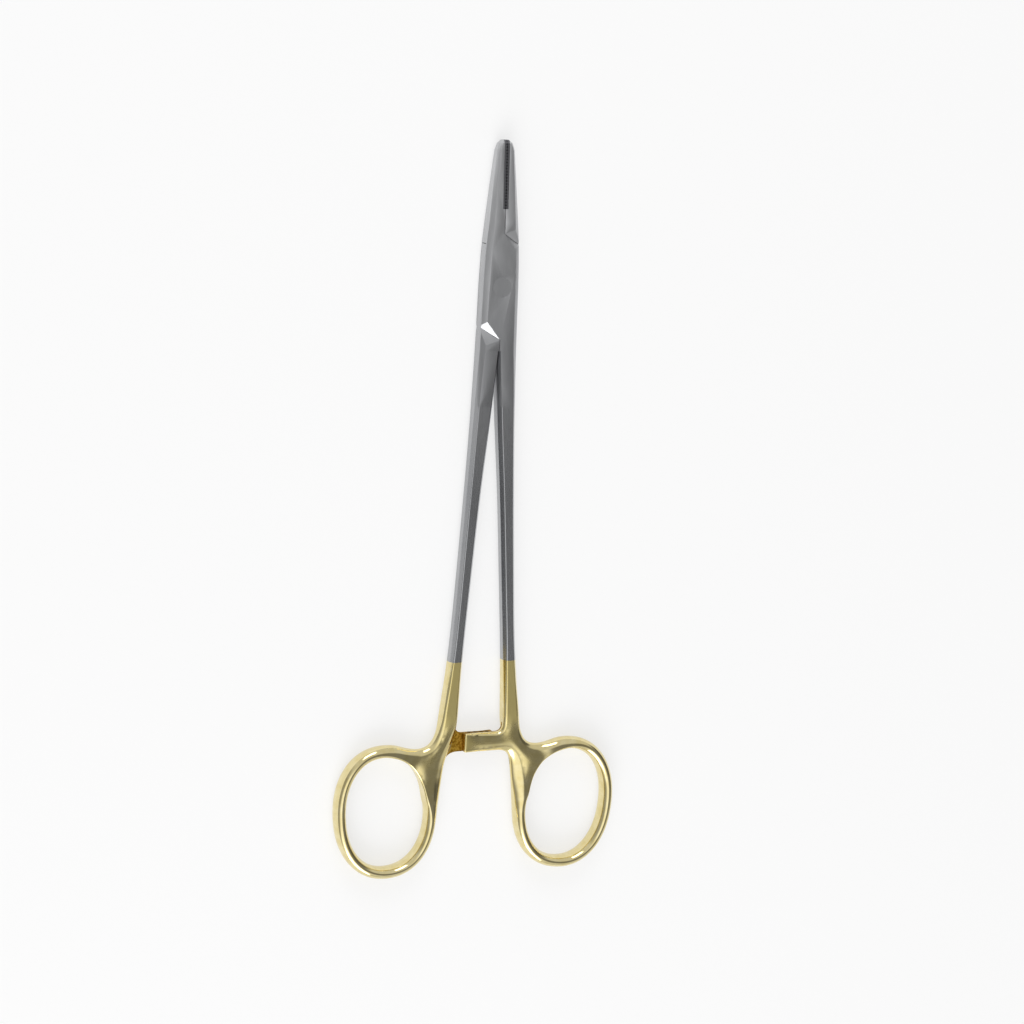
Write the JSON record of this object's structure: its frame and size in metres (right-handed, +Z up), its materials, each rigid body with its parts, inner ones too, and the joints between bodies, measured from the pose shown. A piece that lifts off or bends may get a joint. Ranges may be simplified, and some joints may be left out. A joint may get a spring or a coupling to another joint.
{
  "type": "surgical needle holder",
  "caption": "Box-lock needle holder with serrated hard jaw inserts, slim octagonal shanks, a ratchet between them and oval finger rings.",
  "frame": {"origin": "the rivet's axis, on the back face of the box lock, where the instrument lies on a table", "axes": "+Y along the closed jaws toward the tips, +X toward the half that carries the box, +Z up out of the front face"},
  "size_m": [0.0816, 0.2, 0.006],
  "materials": {
    "forged_steel": "satin steel, gold plated from the lower shanks to the finger rings",
    "hard_insert": "dark ground carbide with a cross-cut grip"
  },
  "bodies": {
    "box_side": {"female_half": "forged_steel", "pivot_pin": "forged_steel", "female_insert": "hard_insert"},
    "through_side": {"male_half": "forged_steel", "male_insert": "hard_insert"}
  },
  "joints": [
    {"name": "box_lock_pivot", "type": "hinge", "parent": "box_side", "child": "through_side", "pos_m": [0, 0, 0], "axis": [0, 0, -1], "range_deg": [0, 45]}
  ]
}
